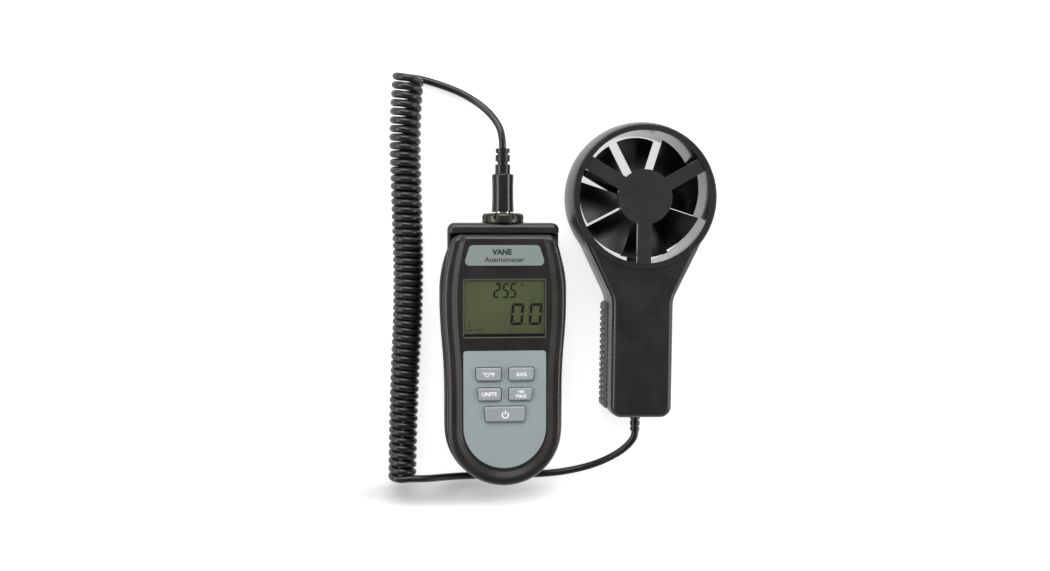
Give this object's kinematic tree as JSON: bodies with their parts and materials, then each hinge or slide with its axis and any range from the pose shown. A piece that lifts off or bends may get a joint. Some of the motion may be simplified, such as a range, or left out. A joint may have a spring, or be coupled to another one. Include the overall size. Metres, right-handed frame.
{
  "type": "vane anemometer",
  "caption": "Handheld vane anemometer: a meter with display and keypad, and a ducted impeller probe on a curly lead.",
  "frame": {"origin": "centre of the meter's flat back, on the surface that the whole instrument lies on", "axes": "+Z out of the display, +Y from the keypad towards the lead's socket, +X towards the vane probe"},
  "size_m": [0.1668, 0.2096, 0.03],
  "materials": {
    "case_plastic": "fine satin moulding texture, charcoal",
    "guard_plastic": "satin black moulding",
    "blade_plastic": "satin black",
    "grip_rubber": "ribbed dark grey rubber",
    "window_clear": "clear flat window",
    "lcd_glass": "olive reflective liquid crystal panel",
    "connector_rubber": "striped elastomer",
    "label_film": "grey-green printed film",
    "keypad_rubber": "silicone rubber",
    "key_rubber": "satin grey with white legends",
    "circuit_board": "green laminate",
    "chip_plastic": "black moulded package",
    "battery_jacket": "printed metal jacket",
    "snap_plastic": "black vinyl",
    "screw_steel": "zinc plated",
    "socket_metal": "nickel plated",
    "nut_metal": "dark anodised ring",
    "insulator_plastic": "black insulator",
    "contact_brass": "plated brass",
    "plug_plastic": "soft overmould",
    "cord_jacket": "semi-gloss black jacket",
    "bearing_steel": "ground steel",
    "magnet_metal": "nickel plated magnet"
  },
  "bodies": {
    "meter_and_probe": {"rear_shell": "case_plastic", "front_shell": "case_plastic", "socket_panel": "case_plastic", "probe_front_shell": "case_plastic", "probe_rear_shell": "case_plastic", "front_guard": "guard_plastic", "rear_guard": "guard_plastic", "grip_left": "grip_rubber", "grip_right": "grip_rubber", "lcd_window": "window_clear", "lcd_module": "lcd_glass", "lcd_connector": "connector_rubber", "name_label": "label_film", "keypad_label": "label_film", "keypad_mat": "keypad_rubber", "main_pcb": "circuit_board", "probe_pcb": "circuit_board", "pcb_components": "chip_plastic", "pickup_sensor": "chip_plastic", "temperature_sensor": "chip_plastic", "battery_9v": "battery_jacket", "battery_snap": "snap_plastic", "case_screws": "screw_steel", "probe_screws": "screw_steel", "socket_body": "socket_metal", "socket_nut": "nut_metal", "socket_insulator": "insulator_plastic", "socket_contacts": "contact_brass", "cord_upper": "cord_jacket", "cord_coil": "cord_jacket", "cord_lower": "cord_jacket", "probe_relief": "cord_jacket", "front_bearing": "bearing_steel", "rear_bearing": "bearing_steel"},
    "impeller": {"impeller": "blade_plastic", "rotor_axle": "bearing_steel", "rotor_magnet": "magnet_metal"},
    "battery_cover": {"battery_cover": "case_plastic"},
    "plug": {"plug_body": "plug_plastic", "plug_shell": "socket_metal", "plug_insert": "insulator_plastic", "plug_pins": "contact_brass", "plug_relief": "cord_jacket"},
    "key_temperature": {"key_temperature": "key_rubber"},
    "key_average": {"key_average": "key_rubber"},
    "key_units": {"key_units": "key_rubber"},
    "key_min_max": {"key_min_max": "key_rubber"},
    "key_power": {"key_power": "key_rubber"}
  },
  "joints": [
    {"name": "impeller_spin", "type": "hinge", "parent": "meter_and_probe", "child": "impeller", "pos_m": [0.06965, 0.0788, 0.0152], "axis": [0, 0, 1], "continuous": true},
    {"name": "key_temperature_press", "type": "slide", "parent": "meter_and_probe", "child": "key_temperature", "axis": [0, 0, -1], "range_m": [0, 0.0008], "stiffness_N_per_m": 1500},
    {"name": "key_average_press", "type": "slide", "parent": "meter_and_probe", "child": "key_average", "axis": [0, 0, -1], "range_m": [0, 0.0008], "stiffness_N_per_m": 1500},
    {"name": "key_units_press", "type": "slide", "parent": "meter_and_probe", "child": "key_units", "axis": [0, 0, -1], "range_m": [0, 0.0008], "stiffness_N_per_m": 1500},
    {"name": "key_min_max_press", "type": "slide", "parent": "meter_and_probe", "child": "key_min_max", "axis": [0, 0, -1], "range_m": [0, 0.0008], "stiffness_N_per_m": 1500},
    {"name": "key_power_press", "type": "slide", "parent": "meter_and_probe", "child": "key_power", "axis": [0, 0, -1], "range_m": [0, 0.0008], "stiffness_N_per_m": 1500},
    {"name": "battery_cover_slide", "type": "slide", "parent": "meter_and_probe", "child": "battery_cover", "axis": [0, -1, 0], "range_m": [0, 0.004]},
    {"name": "plug_pull", "type": "slide", "parent": "meter_and_probe", "child": "plug", "axis": [0, 1, 0], "range_m": [0, 0.01], "deforming": ["cord_upper"]}
  ]
}
